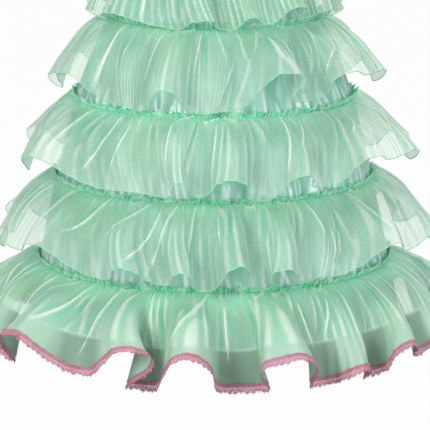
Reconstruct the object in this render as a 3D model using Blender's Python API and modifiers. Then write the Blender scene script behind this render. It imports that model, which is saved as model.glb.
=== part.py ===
"""Child's southern belle dress: a gathered satin skirt with five organza ruffles and a plain bodice.

Metres, +Z up. The origin lies between the undersides of the two shoulder straps, where a wearer
holds the dress up. The front faces -Y and the wearer's left side is at +X.
"""
import bpy
import math
import numpy as np

# Driving sizes
WALL = 0.0014
GAP = 0.0003
WAIST_GAP = 0.0005
WAIST_DROP = 0.300
HEADER_HEIGHT = 0.007
HEADER_LEAN = math.radians(20)
HEADER_CRIMP = 0.0012
GATHER_DEPTH = 0.0022
GATHER_REACH = 0.11
SEAM_TURN = 0.30
TURN_IN = 0.20
START_FLARE = math.radians(85)
SEAM_GAP = 0.0005
SEAM_EVEN = 0.4
COLUMNS_PER_FOLD = 6
SKIRT_FOLDS = 24
SKIRT_COLUMNS_PER_FOLD = 3
LACE_WALL = 0.0010
LACE_GAP = 0.0005
LACE_BELOW = 0.007
SHOULDER_ROUND = 0.100
SHOULDER_SLOPE = 0.30
NECK_POINT = 0.055
SLOPE_FADE = 0.120
BACK_LAP = 0.008
LAP_LIFT = 0.0022
LAP_REACH = 0.22

# One row a ring of the satin skirt: drop below the waist, half width, half depth, depth of its folds
SKIRT_RINGS = (
    (0.000, 0.0980, 0.0860, 0.0000),
    (0.004, 0.0980, 0.0860, 0.0000),
    (0.022, 0.1080, 0.1020, 0.0000),
    (0.080, 0.1380, 0.1350, 0.0030),
    (0.140, 0.1584, 0.1584, 0.0000),
    (0.202, 0.1870, 0.1870, 0.0030),
    (0.2624, 0.2100, 0.2100, 0.0000),
    (0.3831, 0.2394, 0.2394, 0.0000),
    (0.508, 0.2663, 0.2663, 0.0000),
    (0.592, 0.2831, 0.2831, 0.0035),
)

# One row a ruffle: name, drop of its seam below the waist, cut depth from seam to hem
RUFFLES = (
    ("ruffle_1", 0.0220, 0.141),
    ("ruffle_2", 0.1400, 0.133),
    ("ruffle_3", 0.2624, 0.131),
    ("ruffle_4", 0.3831, 0.133),
    ("ruffle_5", 0.5080, 0.147),
)

# One row a fold, all in degrees: where its crest stands round the skirt from the front centre, the
# crest's flare from the vertical, where the valley after it stands, that valley's flare, how far the
# crest's edge curls over the valley before it, and how far over the valley after it
FOLDS = {
    "ruffle_1": (
        (-172, 44, -158, 27, 2.0, 1.0),
        (-142, 40, -126, 26, 1.0, 2.5),
        (-108, 36, -95, 25, 1.5, 0.8),
        (-81, 31, -66, 23, 1.0, 1.2),
        (-48, 38, -22, 22, 1.5, 0.5),
        (-2, 40, 3, 23, 0.5, 0.8),
        (15, 40, 23, 33, 0.4, 0.3),
        (34, 48, 42, 33, 0.5, 2.0),
        (53, 40, 63, 27, 0.8, 1.0),
        (79, 32, 95, 24, 1.5, 0.8),
        (111, 44, 127, 28, 0.8, 2.2),
        (146, 41, 166, 26, 2.0, 1.0),
    ),
    "ruffle_2": (
        (-170, 52, -158, 24, 1.0, 2.8),
        (-146, 60, -134, 27, 0.6, 1.2),
        (-122, 50, -109, 30, 2.0, 0.6),
        (-92, 38, -68, 36, 1.5, 1.0),
        (-51, 58, -37, 21, 2.0, 0.8),
        (-33, 26, -28, 20, 0.3, 0.3),
        (-15, 51, -7, 20, 0.5, 0.8),
        (-1, 23, 5, 20, 0.3, 0.3),
        (21, 66, 33, 33, 0.8, 3.4),
        (46, 61, 56, 55, 3.2, 0.4),
        (62, 56, 92, 31, 0.4, 1.0),
        (111, 47, 124, 24, 0.8, 2.0),
        (138, 58, 150, 28, 2.4, 0.6),
        (164, 48, 177, 22, 1.0, 1.6),
    ),
    "ruffle_3": (
        (-167, 50, -154, 25, 1.0, 2.4),
        (-140, 58, -128, 22, 0.8, 1.2),
        (-115, 51, -103, 30, 2.4, 0.8),
        (-90, 33, -76, 30, 1.0, 1.0),
        (-53, 59, -31, 33, 1.6, 0.4),
        (-23, 33, -14, 26, 0.3, 0.3),
        (-9, 50, -5, 29, 0.3, 0.4),
        (4, 53, 15, 22, 0.6, 1.2),
        (23, 54, 31, 37, 0.8, 1.2),
        (45, 64, 52, 58, 1.6, 0.4),
        (60, 60, 92, 33, 0.4, 1.0),
        (111, 50, 124, 24, 0.6, 2.6),
        (139, 49, 152, 27, 1.5, 0.8),
        (166, 57, 179, 22, 2.2, 1.0),
    ),
    "ruffle_4": (
        (-164, 50, -152, 25, 1.2, 2.4),
        (-138, 58, -126, 23, 0.8, 1.2),
        (-112, 51, -101, 28, 2.0, 0.8),
        (-92, 38, -78, 34, 1.5, 1.0),
        (-64, 50, -57, 49, 1.0, 0.4),
        (-46, 61, -30, 29, 0.8, 0.4),
        (-22, 50, -13, 27, 0.5, 0.4),
        (-8, 48, -3, 20, 0.3, 1.0),
        (6, 56, 12, 20, 0.3, 0.8),
        (17, 53, 24, 29, 1.8, 1.0),
        (28, 36, 31, 33, 0.3, 0.2),
        (47, 62, 54, 50, 0.6, 0.6),
        (66, 60, 90, 34, 0.6, 1.2),
        (104, 46, 115, 28, 2.0, 0.8),
        (125, 55, 136, 24, 0.8, 2.0),
        (146, 50, 158, 26, 2.0, 0.8),
        (171, 58, 183, 23, 1.0, 2.0),
    ),
    "ruffle_5": (
        (-161, 58, -149, 20, 1.0, 2.6),
        (-136, 50, -124, 25, 1.2, 1.0),
        (-111, 57, -97, 22, 2.6, 0.8),
        (-86, 50, -78, 30, 1.0, 1.2),
        (-68, 50, -58, 28, 1.5, 1.0),
        (-46, 66, -31, 38, 1.2, 0.2),
        (-17, 67, -17, 16, 0.3, 4.2),
        (-6, 63, 6, 13, 0.3, 1.5),
        (17, 60, 28, 15, 3.8, 1.4),
        (36, 38, 42, 19, 0.5, 0.6),
        (46, 56, 52, 42, 2.2, 0.5),
        (60, 54, 84, 28, 0.8, 1.0),
        (98, 58, 110, 22, 2.6, 1.0),
        (124, 50, 136, 26, 0.8, 1.5),
        (150, 60, 163, 20, 2.0, 2.6),
        (175, 52, 188, 24, 1.0, 1.5),
    ),
}

# Shares of a ruffle's depth at which its surface is shaped, from the seam to the hem; the lowest
# ruffle has one more at the top of its lace
RUFFLE_SHARES = (0.0, 0.10, 0.35, 0.68, 1.0)
LACED_SHARES = (0.0, 0.10, 0.35, 0.68, 0.965, 1.0)

# One row a height of the bodice: height from the origin, half width, depth at the front, at the back
BODICE_RINGS = (
    (-0.300, 0.0980, 0.0860, 0.0860),
    (-0.240, 0.1055, 0.0900, 0.0860),
    (-0.170, 0.1160, 0.0950, 0.0890),
    (-0.120, 0.1200, 0.0950, 0.0900),
    (0.000, 0.1280, 0.0900, 0.0880),
)

# One row a point of a panel's top edge, from the centre to the side seam: share of the way round at
# the waist, distance from the centre, drop below the shoulder at the front, drop at the back
TOP_EDGE = (
    (0.00, 0.000, 0.082, 0.040),
    (0.06, 0.013, 0.081, 0.039),
    (0.12, 0.026, 0.077, 0.036),
    (0.22, 0.042, 0.056, 0.026),
    (0.32, 0.052, 0.026, 0.013),
    (0.40, 0.058, 0.000, 0.000),
    (0.50, 0.076, 0.000, 0.000),
    (0.60, 0.094, 0.000, 0.000),
    (0.71, 0.0945, 0.030, 0.028),
    (0.82, 0.096, 0.062, 0.060),
    (0.92, 0.103, 0.096, 0.094),
    (1.00, 0.119, 0.124, 0.124),
)
BODICE_SHARES = (0.0, 0.22, 0.44, 0.64, 0.80, 0.92, 1.0)

# One row a material: colour and roughness
LOOKS = {
    "satin": ((0.30, 0.62, 0.50), 0.32),
    "organza": ((0.42, 0.74, 0.58), 0.45),
    "lace": ((0.80, 0.32, 0.46), 0.75),
}


def clear_scene():
    for old in list(bpy.data.objects):
        bpy.data.objects.remove(old, do_unlink=True)


def collection_for_dress():
    group = bpy.data.collections.new("southern_belle_dress")
    bpy.context.scene.collection.children.link(group)
    return group


def material_for(name, look):
    colour, roughness = LOOKS[look]
    material = bpy.data.materials.new(name)
    material.use_nodes = True
    shader = material.node_tree.nodes["Principled BSDF"]
    shader.inputs["Base Color"].default_value = (*colour, 1.0)
    shader.inputs["Roughness"].default_value = roughness
    shader.inputs["Metallic"].default_value = 0.0
    return material


def add_sheet(group, name, points, closed, wall, look):
    """A cloth surface through a grid of points, rows from top to bottom, thickened outwards"""
    rows, columns = points.shape[:2]
    faces = []
    spans = columns if closed else columns - 1
    for row in range(rows - 1):
        for column in range(spans):
            after = (column + 1) % columns
            top = row * columns
            low = top + columns
            faces.append((top + column, low + column, low + after, top + after))
    mesh = bpy.data.meshes.new(name)
    mesh.from_pydata([tuple(point) for point in points.reshape(-1, 3)], [], faces)
    mesh.shade_smooth()
    mesh.materials.append(material_for(name, look))
    sheet = bpy.data.objects.new(name, mesh)
    group.objects.link(sheet)
    shell = sheet.modifiers.new("cloth", "SOLIDIFY")
    shell.thickness = wall
    shell.offset = 1.0
    return sheet


def ring_size(drop):
    """Half width, half depth and fold depth of the satin skirt at a drop below the waist"""
    drops, widths, depths, folds = np.array(SKIRT_RINGS).T
    return np.interp(drop, drops, widths), np.interp(drop, drops, depths), np.interp(drop, drops, folds)


def skirt_panel(group, name, from_angle):
    """Half of the satin skirt, from one side seam to the other, each edge half a gap short"""
    count = SKIRT_FOLDS * SKIRT_COLUMNS_PER_FOLD // 2
    rows = []
    for drop, width, depth, fold in SKIRT_RINGS:
        angles = np.radians(from_angle + np.linspace(0, 180, count + 1))
        edge = math.asin(GAP / 2 / width)
        angles[0] += edge
        angles[-1] -= edge
        out = fold * np.cos(SKIRT_FOLDS * angles) - fold
        x = (width + out) * np.sin(angles)
        y = -(depth + out) * np.cos(angles)
        rows.append(np.stack([x, y, np.full_like(x, -WAIST_DROP - drop)], -1))
    return add_sheet(group, name, np.array(rows), False, WALL, "satin")


def fold_columns(name):
    """Fold number, angle at the seam, angle at the hem and flare of each column round a ruffle"""
    crest_at, crest_flare, valley_at, valley_flare, before, after = np.array(FOLDS[name], dtype=float).T
    count = len(crest_at)
    places = np.append(np.stack([crest_at, valley_at], -1).ravel(), crest_at[0] + 360)
    flares = np.append(np.stack([crest_flare, valley_flare], -1).ravel(), crest_flare[0])
    step = np.arange(count * COLUMNS_PER_FOLD) / COLUMNS_PER_FOLD
    folded = np.interp(step * 2, np.arange(2 * count + 1), places)
    even = np.interp(step, (0, count), (places[0], places[-1])) + np.mean(folded - step * 360 / count) - places[0]
    seam_angle = folded + (even - folded) * SEAM_EVEN
    place = np.floor(step * 2 + 1e-9).astype(int)
    share = (1 - np.cos(math.pi * (step * 2 - place))) / 2
    flare = flares[place] + (flares[place + 1] - flares[place]) * share
    curls = np.stack([after, np.roll(before, -1)], -1).ravel()[place]
    hem_angle = folded + curls * np.sin(4 * math.pi * step)
    return step, np.radians(seam_angle), np.radians(hem_angle), np.radians(flare)


def ruffle_profile(flare, depth, shares):
    """Distance out and down from the seam, and slope, at shares of a ruffle's cut depth"""
    fine = np.linspace(0, 1, 61)
    low = flare[:, None] - TURN_IN * (START_FLARE - flare[:, None])
    slope = low + (START_FLARE - low) * np.exp(-fine / SEAM_TURN)
    middle = (slope[:, 1:] + slope[:, :-1]) / 2
    start = np.zeros((len(flare), 1))
    out = np.hstack([start, np.cumsum(np.sin(middle), 1)]) * depth / 60
    down = np.hstack([start, np.cumsum(np.cos(middle), 1)]) * depth / 60
    pick = [np.array([np.interp(shares, fine, line) for line in grid]) for grid in (out, down, slope)]
    return pick


def ruffle_grid(name, seam, depth, shares):
    """Points of a ruffle below its seam, a row for each share of its depth"""
    step, seam_angle, hem_angle, flare = fold_columns(name)
    shares = np.array(shares)
    out, down, slope = ruffle_profile(flare, depth, shares)
    gather = GATHER_DEPTH * (shares / GATHER_REACH) * np.exp(1 - shares / GATHER_REACH)
    ripple = np.cos(4 * math.pi * step)[:, None] * gather
    out += ripple * np.cos(slope)
    down -= ripple * np.sin(slope)
    width, deep, unused = ring_size(seam)
    below_width, below_deep, unused = ring_size(seam + down)
    rest = np.maximum(below_width - width, below_deep - deep)
    out = np.maximum(out, rest + GAP) + WALL + SEAM_GAP
    angle = seam_angle[:, None] + (hem_angle - seam_angle)[:, None] * shares ** 2
    x = (width + out) * np.sin(angle)
    y = -(deep + out) * np.cos(angle)
    z = -WAIST_DROP - seam - down
    return np.stack([x, y, z], -1).transpose(1, 0, 2)


def header_row(name, seam):
    """Top edge of the narrow crimped heading that stands above a ruffle's seam"""
    step, seam_angle, unused, flare = fold_columns(name)
    width, deep, fold = ring_size(seam)
    lean = HEADER_HEIGHT * math.sin(HEADER_LEAN)
    out = WALL + SEAM_GAP + lean + HEADER_CRIMP * np.cos(4 * math.pi * step)
    x = (width + out) * np.sin(seam_angle)
    y = -(deep + out) * np.cos(seam_angle)
    z = np.full_like(x, -WAIST_DROP - seam + HEADER_HEIGHT * math.cos(HEADER_LEAN))
    return np.stack([x, y, z], -1)[None]


def add_ruffle(group, name, seam, depth):
    shares = LACED_SHARES if name == RUFFLES[-1][0] else RUFFLE_SHARES
    body = ruffle_grid(name, seam, depth, shares)
    points = np.concatenate([header_row(name, seam), body])
    return add_sheet(group, name, points, True, WALL, "organza"), points


def add_lace(group, name, ruffle, points):
    """Edging on the outside of a ruffle's hem: the ruffle's own points moved out, and a strip below"""
    normals = np.array([vertex.normal[:] for vertex in ruffle.data.vertices]).reshape(points.shape)
    outer = points + normals * (WALL + LACE_GAP)
    fall = points[-1] - points[-2]
    fall /= np.linalg.norm(fall, axis=-1, keepdims=True)
    low = outer[-1] + fall * LACE_BELOW
    return add_sheet(group, name, np.array([outer[-2], outer[-1], low]), True, LACE_WALL, "lace")


def bodice_sheet(side, shift, lift):
    """Grid of one bodice half at +X, side -1 for the front and +1 for the back"""
    shares, across, front_drop, back_drop = np.array(TOP_EDGE).T
    heights, widths, fronts, backs = np.array(BODICE_RINGS).T
    drop = front_drop if side < 0 else back_drop
    depths = fronts if side < 0 else backs
    slope = SHOULDER_SLOPE * np.maximum(across - NECK_POINT, 0)
    top = (-drop - slope) / (1 + slope / SLOPE_FADE)
    top_turn = np.arcsin(np.clip(across / np.interp(top, heights, widths), 0, 1))
    top_turn[-1] = math.pi / 2
    rows = []
    for share in BODICE_SHARES:
        z = -WAIST_DROP + WAIST_GAP + (top + WAIST_DROP - WAIST_GAP) * share
        reached = math.sin(share * math.pi / 2)
        turn = shares * math.pi / 2 * (1 - reached) + top_turn * reached
        width = np.interp(z, heights, widths)
        near = np.clip(1 - shares / LAP_REACH, 0, 1)
        turn = turn - np.arcsin(shift * near / width)
        x = width * np.sin(turn)
        fall = z + SHOULDER_SLOPE * np.maximum(x - NECK_POINT, 0) * np.clip(1 + z / SLOPE_FADE, 0, 1)
        round_off = np.clip((fall + SHOULDER_ROUND) / SHOULDER_ROUND, 0, 1)
        depth = np.interp(z, heights, depths) * np.sqrt(1 - round_off ** 2)
        y = depth * np.cos(turn) + GAP / 2 + lift * np.clip(2 * near, 0, 1)
        rows.append(np.stack([x, side * y, z], -1))
    return np.array(rows)[::-1]


def add_bodice(group):
    front = bodice_sheet(-1, 0.0, 0.0)
    mirrored = front[:, :0:-1] * np.array([-1, 1, 1])
    whole = np.concatenate([mirrored, front], 1)
    add_sheet(group, "bodice_front", whole, False, WALL, "satin")
    left = bodice_sheet(1, BACK_LAP, LAP_LIFT)[:, ::-1]
    add_sheet(group, "bodice_back_left", left, False, WALL, "satin")
    right = bodice_sheet(1, BACK_LAP, 0.0) * np.array([-1, 1, 1])
    add_sheet(group, "bodice_back_right", right, False, WALL, "satin")


def build():
    clear_scene()
    group = collection_for_dress()
    add_bodice(group)
    skirt_panel(group, "skirt_front", -90)
    skirt_panel(group, "skirt_back", 90)
    for name, seam, depth in RUFFLES:
        ruffle, points = add_ruffle(group, name, seam, depth)
    add_lace(group, "lace_edging", ruffle, points)


build()
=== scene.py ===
import math

import bpy
import numpy as np
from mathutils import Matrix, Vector


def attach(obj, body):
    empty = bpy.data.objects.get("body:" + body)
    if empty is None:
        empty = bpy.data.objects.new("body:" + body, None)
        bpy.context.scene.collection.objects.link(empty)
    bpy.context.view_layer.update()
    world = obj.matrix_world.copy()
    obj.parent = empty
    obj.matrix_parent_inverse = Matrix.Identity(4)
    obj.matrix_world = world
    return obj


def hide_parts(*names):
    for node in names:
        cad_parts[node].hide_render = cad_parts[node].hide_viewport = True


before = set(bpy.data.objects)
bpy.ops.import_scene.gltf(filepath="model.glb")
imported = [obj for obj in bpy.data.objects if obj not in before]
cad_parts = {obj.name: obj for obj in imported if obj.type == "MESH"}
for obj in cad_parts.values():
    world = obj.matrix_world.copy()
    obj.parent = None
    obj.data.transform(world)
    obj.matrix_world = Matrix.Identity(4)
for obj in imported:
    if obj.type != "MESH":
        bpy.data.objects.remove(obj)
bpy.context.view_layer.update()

# Sizes shared with the solids, in metres
WALL = 0.0014
GAP = 0.0003
WAIST_GAP = 0.0005
WAIST_DROP = 0.300
HEADER_HEIGHT = 0.007
HEADER_LEAN = math.radians(20)
SEAM_TURN = 0.30
TURN_IN = 0.20
START_FLARE = math.radians(85)
SEAM_GAP = 0.0005
SEAM_EVEN = 0.4
SKIRT_FOLDS = 24
LACE_ABOVE = 0.005
SHOULDER_ROUND = 0.100
SHOULDER_SLOPE = 0.30
NECK_POINT = 0.055
SLOPE_FADE = 0.120
BACK_LAP = 0.008
LAP_LIFT = 0.0022
LAP_REACH = 0.22

# One row a ring of the satin skirt: drop below the waist, half width, half depth, depth of its folds
SKIRT_RINGS = (
    (0.000, 0.0980, 0.0860, 0.0000),
    (0.004, 0.0980, 0.0860, 0.0000),
    (0.022, 0.1080, 0.1020, 0.0000),
    (0.080, 0.1380, 0.1350, 0.0030),
    (0.140, 0.1584, 0.1584, 0.0000),
    (0.202, 0.1870, 0.1870, 0.0030),
    (0.2624, 0.2100, 0.2100, 0.0000),
    (0.3831, 0.2394, 0.2394, 0.0000),
    (0.508, 0.2663, 0.2663, 0.0000),
    (0.592, 0.2831, 0.2831, 0.0035),
)

# One row a ruffle: name, drop of its seam below the waist, cut depth from seam to hem, length of its
# cut hem edge
RUFFLES = (
    ("ruffle_1", 0.0220, 0.141, 1.60),
    ("ruffle_2", 0.1400, 0.133, 2.50),
    ("ruffle_3", 0.2624, 0.131, 2.80),
    ("ruffle_4", 0.3831, 0.133, 3.30),
    ("ruffle_5", 0.5080, 0.147, 4.10),
)

# One row a fold, all in degrees: where its crest stands round the skirt from the front centre, the
# crest's flare from the vertical, where the valley after it stands, that valley's flare, how far the
# crest's edge curls over the valley before it, and how far over the valley after it
FOLDS = {
    "ruffle_1": (
        (-172, 44, -158, 27, 2, 1),
        (-142, 40, -126, 26, 1, 2.5),
        (-108, 36, -95, 25, 1.5, 0.8),
        (-81, 31, -66, 23, 1, 1.2),
        (-48, 38, -22, 22, 1.5, 0.5),
        (-2, 40, 3, 23, 0.5, 0.8),
        (15, 40, 23, 33, 0.4, 0.3),
        (34, 48, 42, 33, 0.5, 2),
        (53, 40, 63, 27, 0.8, 1),
        (79, 32, 95, 24, 1.5, 0.8),
        (111, 44, 127, 28, 0.8, 2.2),
        (146, 41, 166, 26, 2, 1),
    ),
    "ruffle_2": (
        (-170, 52, -158, 24, 1, 2.8),
        (-146, 60, -134, 27, 0.6, 1.2),
        (-122, 50, -109, 30, 2, 0.6),
        (-92, 38, -68, 36, 1.5, 1),
        (-51, 58, -37, 21, 2, 0.8),
        (-33, 26, -28, 20, 0.3, 0.3),
        (-15, 51, -7, 20, 0.5, 0.8),
        (-1, 23, 5, 20, 0.3, 0.3),
        (21, 66, 33, 33, 0.8, 3.4),
        (46, 61, 56, 55, 3.2, 0.4),
        (62, 56, 92, 31, 0.4, 1),
        (111, 47, 124, 24, 0.8, 2),
        (138, 58, 150, 28, 2.4, 0.6),
        (164, 48, 177, 22, 1, 1.6),
    ),
    "ruffle_3": (
        (-167, 50, -154, 25, 1, 2.4),
        (-140, 58, -128, 22, 0.8, 1.2),
        (-115, 51, -103, 30, 2.4, 0.8),
        (-90, 33, -76, 30, 1, 1),
        (-53, 59, -31, 33, 1.6, 0.4),
        (-23, 33, -14, 26, 0.3, 0.3),
        (-9, 50, -5, 29, 0.3, 0.4),
        (4, 53, 15, 22, 0.6, 1.2),
        (23, 54, 31, 37, 0.8, 1.2),
        (45, 64, 52, 58, 1.6, 0.4),
        (60, 60, 92, 33, 0.4, 1),
        (111, 50, 124, 24, 0.6, 2.6),
        (139, 49, 152, 27, 1.5, 0.8),
        (166, 57, 179, 22, 2.2, 1),
    ),
    "ruffle_4": (
        (-164, 50, -152, 25, 1.2, 2.4),
        (-138, 58, -126, 23, 0.8, 1.2),
        (-112, 51, -101, 28, 2, 0.8),
        (-92, 38, -78, 34, 1.5, 1),
        (-64, 50, -57, 49, 1, 0.4),
        (-46, 61, -30, 29, 0.8, 0.4),
        (-22, 50, -13, 27, 0.5, 0.4),
        (-8, 48, -3, 20, 0.3, 1),
        (6, 56, 12, 20, 0.3, 0.8),
        (17, 53, 24, 29, 1.8, 1),
        (28, 36, 31, 33, 0.3, 0.2),
        (47, 62, 54, 50, 0.6, 0.6),
        (66, 60, 90, 34, 0.6, 1.2),
        (104, 46, 115, 28, 2, 0.8),
        (125, 55, 136, 24, 0.8, 2),
        (146, 50, 158, 26, 2, 0.8),
        (171, 58, 183, 23, 1, 2),
    ),
    "ruffle_5": (
        (-161, 58, -149, 20, 1, 2.6),
        (-136, 50, -124, 25, 1.2, 1),
        (-111, 57, -97, 22, 2.6, 0.8),
        (-86, 50, -78, 30, 1, 1.2),
        (-68, 50, -58, 28, 1.5, 1),
        (-46, 66, -31, 38, 1.2, 0.2),
        (-17, 67, -17, 16, 0.3, 4.2),
        (-6, 63, 6, 13, 0.3, 1.5),
        (17, 60, 28, 15, 3.8, 1.4),
        (36, 38, 42, 19, 0.5, 0.6),
        (46, 56, 52, 42, 2.2, 0.5),
        (60, 54, 84, 28, 0.8, 1),
        (98, 58, 110, 22, 2.6, 1),
        (124, 50, 136, 26, 0.8, 1.5),
        (150, 60, 163, 20, 2, 2.6),
        (175, 52, 188, 24, 1, 1.5),
    ),
}

# One row a height of the bodice: height from the origin, half width, depth at the front, at the back
BODICE_RINGS = (
    (-0.300, 0.0980, 0.0860, 0.0860),
    (-0.240, 0.1055, 0.0900, 0.0860),
    (-0.170, 0.1160, 0.0950, 0.0890),
    (-0.120, 0.1200, 0.0950, 0.0900),
    (0.000, 0.1280, 0.0900, 0.0880),
)

# One row a point of a panel's top edge, from the centre to the side seam: share of the way round at
# the waist, distance from the centre, drop below the shoulder at the front, drop at the back
TOP_EDGE = (
    (0.00, 0.000, 0.082, 0.040),
    (0.06, 0.013, 0.081, 0.039),
    (0.12, 0.026, 0.077, 0.036),
    (0.22, 0.042, 0.056, 0.026),
    (0.32, 0.052, 0.026, 0.013),
    (0.40, 0.058, 0.000, 0.000),
    (0.50, 0.076, 0.000, 0.000),
    (0.60, 0.094, 0.000, 0.000),
    (0.71, 0.0945, 0.030, 0.028),
    (0.82, 0.096, 0.062, 0.060),
    (0.92, 0.103, 0.096, 0.094),
    (1.00, 0.119, 0.124, 0.124),
)

# Fineness of the meshes
RUFFLE_COLUMNS = (900, 1000, 1120, 1240, 1340)
RUFFLE_ROWS = 40
HEADING_COLUMNS = (1100, 1400, 1600, 1800, 2000)
HEADING_ROWS = 6
SKIRT_COLUMNS = 330
SKIRT_ROWS = 62
BODICE_GRID = 68
LACE_COLUMNS = 5200
PROFILE_STEPS = 120

# Main creases of each ruffle, one a row: angle round the skirt at its start and at
# its end, share of the ruffle's depth at its start and at its end, height in mm (below 0 it is a
# trough), half width in mm at the seam, and how strong a painted highlight lies along its crest
CREASES = {
    "ruffle_1": (
        (-58, -60, 0.05, 0.9, 2.2, 4, 0.7),
        (-36, -39, 0.2, 1, 2.8, 3, 1),
        (-30, -30, 0.3, 0.95, -2.4, 4, 0),
        (-24, -26, 0.15, 1, 2.6, 2.4, 1),
        (-13, -14, 0.05, 0.9, 2, 4, 0.5),
        (-4, -1, 0.1, 1, -3, 3.5, 0),
        (10, 12, 0.05, 0.8, 2, 4, 0.5),
        (28, 29, 0.1, 0.95, 2.6, 4, 0.7),
        (44, 46, 0.1, 0.9, 2, 3, 0.4),
        (64, 68, 0.05, 0.95, -2.2, 4, 0),
    ),
    "ruffle_2": (
        (-67, -68, 0.04, 0.88, 2.4, 2.2, 0.8),
        (-49, -52, 0.04, 0.95, 3.4, 4.5, 1.2),
        (-40, -43, 0.05, 0.6, 1.8, 4, 0.6),
        (-29, -31, 0.06, 0.72, -3.4, 5, 0),
        (-24, -30, 0.1, 0.75, 2.2, 3, 0.6),
        (-6, -8, 0.14, 0.62, 2.2, 2.2, 0.8),
        (-4, -2, 0.08, 0.98, -3.6, 4.5, 0),
        (1, 8, 0.04, 0.56, 3, 5, 0.15),
        (9, 4, 0.5, 0.98, 3, 5.5, 0.45),
        (11, 15, 0.06, 0.54, 2.6, 4.5, 0.1),
        (15, 12, 0.48, 0.98, 2.6, 5, 0.2),
        (20, 16, 0.08, 0.52, 1.6, 2.4, 0.15),
        (19, 24, 0.02, 0.3, 2.8, 3, 0.35),
        (24, 27, 0.24, 0.95, 3, 3.5, 0.4),
        (27, 30, 0.2, 0.85, -2.6, 3.5, 0),
        (47, 37, 0.04, 0.95, -2.4, 2, 0),
        (61, 44, 0.04, 0.9, -3, 4, 0),
        (56, 42, 0.3, 0.88, 1.8, 2, 0.9),
        (70, 62, 0.06, 0.85, 2, 3, 0.5),
    ),
    "ruffle_3": (
        (-72, -68, 0.08, 0.92, 2.4, 2.4, 0.9),
        (-53, -57, 0.04, 0.9, 3.2, 3, 1.3),
        (-45, -51, 0.1, 0.7, -2.6, 6, 0),
        (-36, -47, 0.04, 0.88, 3, 2.6, 1.3),
        (-31, -39, 0.24, 0.86, 2.4, 2.2, 1.1),
        (-22, -20, 0.12, 0.88, -2.8, 5, 0),
        (-15, -17, 0.16, 1, 3, 3.5, 0.9),
        (-6, -10, 0.04, 0.88, -3, 2.6, 0),
        (1, 0, 0.16, 0.92, 2.4, 4.5, 0.5),
        (4, 3, 0.2, 0.85, -1.6, 2, 0),
        (13, 15, 0.04, 0.45, -3, 3.5, 0),
        (26, 24, 0.03, 0.95, 2.8, 3.5, 0.7),
        (29, 28, 0.06, 0.5, -3.2, 3.5, 0),
        (32, 28, 0.14, 0.62, 1.8, 2.2, 0.7),
        (47, 41, 0.08, 0.85, -2.8, 4, 0),
        (55, 48, 0.08, 0.6, 2.2, 2.4, 0.8),
        (57, 50, 0.4, 0.98, 2.2, 2.6, 0.8),
        (74, 66, 0.2, 0.88, 2.2, 2.4, 0.5),
    ),
    "ruffle_4": (
        (-71, -66, 0.04, 0.9, 2.6, 2.4, 1.2),
        (-53, -57, 0.05, 0.98, 3.2, 3, 1.3),
        (-37, -47, 0.06, 0.66, 2.8, 3, 1.3),
        (-21, -39, 0.02, 0.66, 3, 3, 1.1),
        (-17, -29, 0.18, 0.95, 2.6, 2.8, 1),
        (-12, -24, 0.04, 1, 2.6, 2.8, 0.7),
        (-13, -17, 0.18, 0.85, -3, 3.5, 0),
        (-6, -10, 0.04, 0.95, 2.4, 4, 0.5),
        (1, 1, 0.22, 0.62, 2, 2.4, 0.9),
        (5, 3, 0.08, 0.9, -2.2, 3, 0),
        (16, 14, 0.04, 0.55, -3.2, 3.5, 0),
        (15, 16, 0.5, 0.95, 1.8, 2, 0.8),
        (27, 25, 0.03, 0.62, -3.2, 3.5, 0),
        (31, 36, 0.03, 0.62, 2.6, 4, 0.5),
        (38, 41, 0.5, 1, 3, 3.6, 1.3),
        (40, 45, 0.26, 0.88, -3, 4.5, 0),
        (50, 57, 0.04, 0.88, 2.6, 3, 0.7),
        (70, 62, 0.14, 0.92, 2.4, 2.2, 0.8),
    ),
    "ruffle_5": (
        (-56, -64, 0.04, 0.92, 3.4, 4.5, 1.2),
        (-45, -59, 0.02, 0.5, 2.6, 3, 0.9),
        (-39, -47, 0.02, 0.78, 3, 2.6, 1.1),
        (-37, -42, 0.16, 0.7, -3.2, 4, 0),
        (-29, -36, 0.1, 0.9, 3, 3, 0.9),
        (-22, -25, 0.02, 0.36, 2.4, 3, 0.6),
        (-18, -14, 0.02, 0.98, 2.6, 3, 0.4),
        (-15, -12, 0.1, 0.95, -3, 3.6, 0),
        (-2, -13, 0, 0.92, 3, 3.6, 0.6),
        (-3, -3, 0.2, 0.9, 1.8, 2, 0.6),
        (3, 4, 0.22, 0.78, 2, 2.6, 0.9),
        (9, 8, 0.06, 0.6, -2.6, 4, 0),
        (22, 21, 0.02, 0.36, 3, 2.8, 1.4),
        (22, 26, 0.28, 0.92, -2.4, 1.8, 0),
        (24, 27, 0.22, 0.7, 2.6, 4, 1),
        (30, 29, 0.14, 0.6, -3.2, 3.5, 0),
        (33, 29, 0.2, 0.62, 2, 2.2, 0.9),
        (39, 38, 0.04, 0.95, 2.8, 3, 0.7),
        (50, 50, 0.04, 0.92, -2.4, 2, 0),
        (52, 52, 0.1, 0.9, 2.2, 2.6, 0.5),
        (58, 59, 0.06, 0.9, -2.4, 2.2, 0),
        (68, 66, 0.06, 0.85, 2.2, 3, 0.5),
    ),
}

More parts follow.
